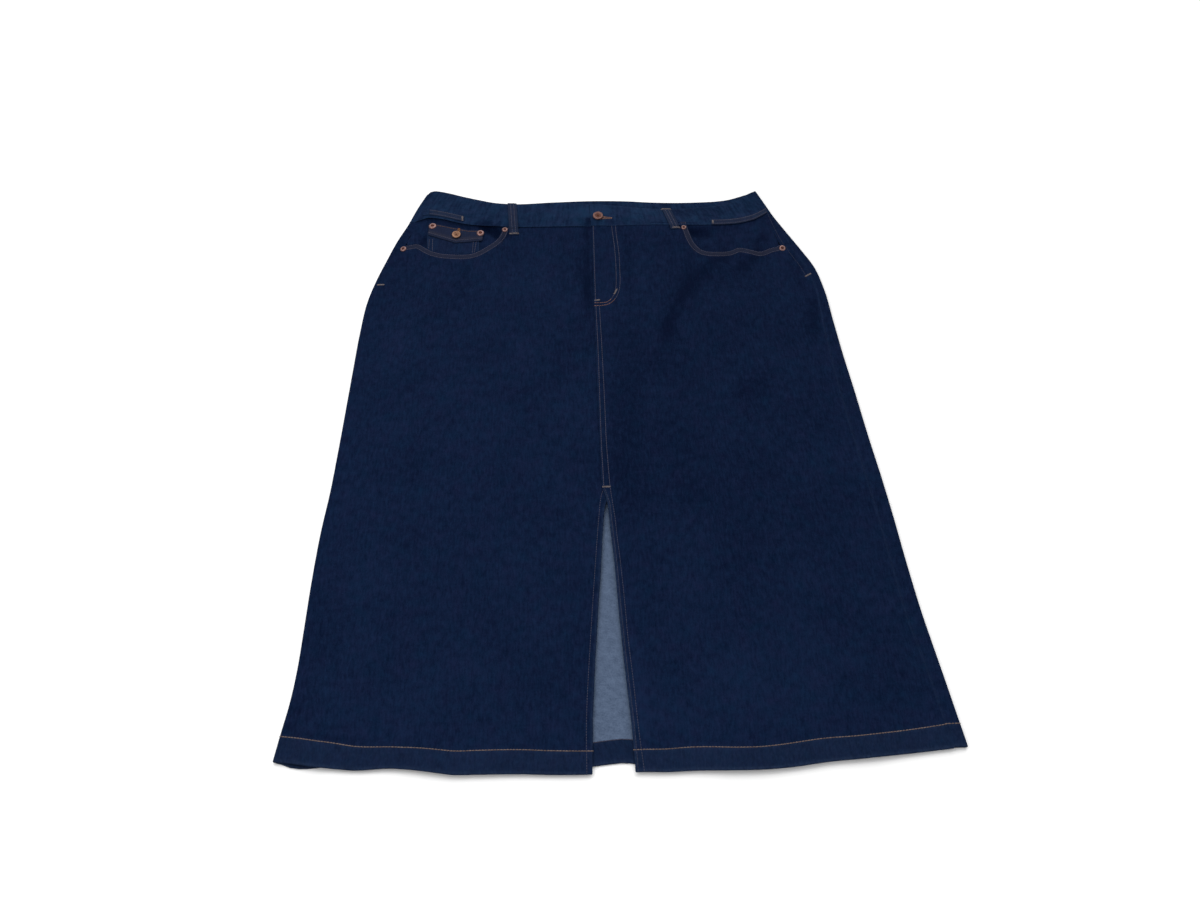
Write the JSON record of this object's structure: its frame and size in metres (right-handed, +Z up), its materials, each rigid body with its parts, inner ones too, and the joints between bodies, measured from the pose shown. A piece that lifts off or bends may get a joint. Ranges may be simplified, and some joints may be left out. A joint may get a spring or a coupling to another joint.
{
  "type": "denim skirt",
  "caption": "Long A-line denim skirt with a centre-front slit, fly, waistband, belt loops and front pockets, laid flat with its front up.",
  "frame": {"origin": "on the surface that the skirt lies on, under the middle of the laid skirt", "axes": "+X towards the wearer's left side, +Y from the hem up to the waistband, +Z up out of the front of the skirt"},
  "size_m": [0.8032, 0.8894, 0.0173],
  "materials": {
    "denim": "dark rinsed indigo denim, right-hand twill",
    "waistband_denim": "dark rinsed indigo denim, rubbed slightly lighter along its edges",
    "pocket_denim": "dark rinsed indigo denim",
    "wrong_side": "pale grey-blue wrong side of the denim",
    "thread": "thick copper-brown topstitching thread",
    "zip_tape": "woven navy tape",
    "copper": "satin antique copper"
  },
  "bodies": {
    "root": {"front_right": "denim", "front_left": "denim", "back_panel": "denim", "waistband": "waistband_denim", "belt_loop_right": "waistband_denim", "belt_loop_left": "waistband_denim", "side_tab_right": "waistband_denim", "side_tab_left": "waistband_denim", "pocket_bag_right": "pocket_denim", "pocket_bag_left": "pocket_denim", "coin_pocket": "pocket_denim", "coin_flap": "pocket_denim", "fly_zip": "zip_tape", "waist_button": "copper", "coin_button": "copper", "rivet_right_side": "copper", "rivet_right_inner": "copper", "rivet_left_inner": "copper", "rivet_left_side": "copper", "flap_rivet_outer": "copper", "flap_rivet_inner": "copper"}
  },
  "joints": []
}
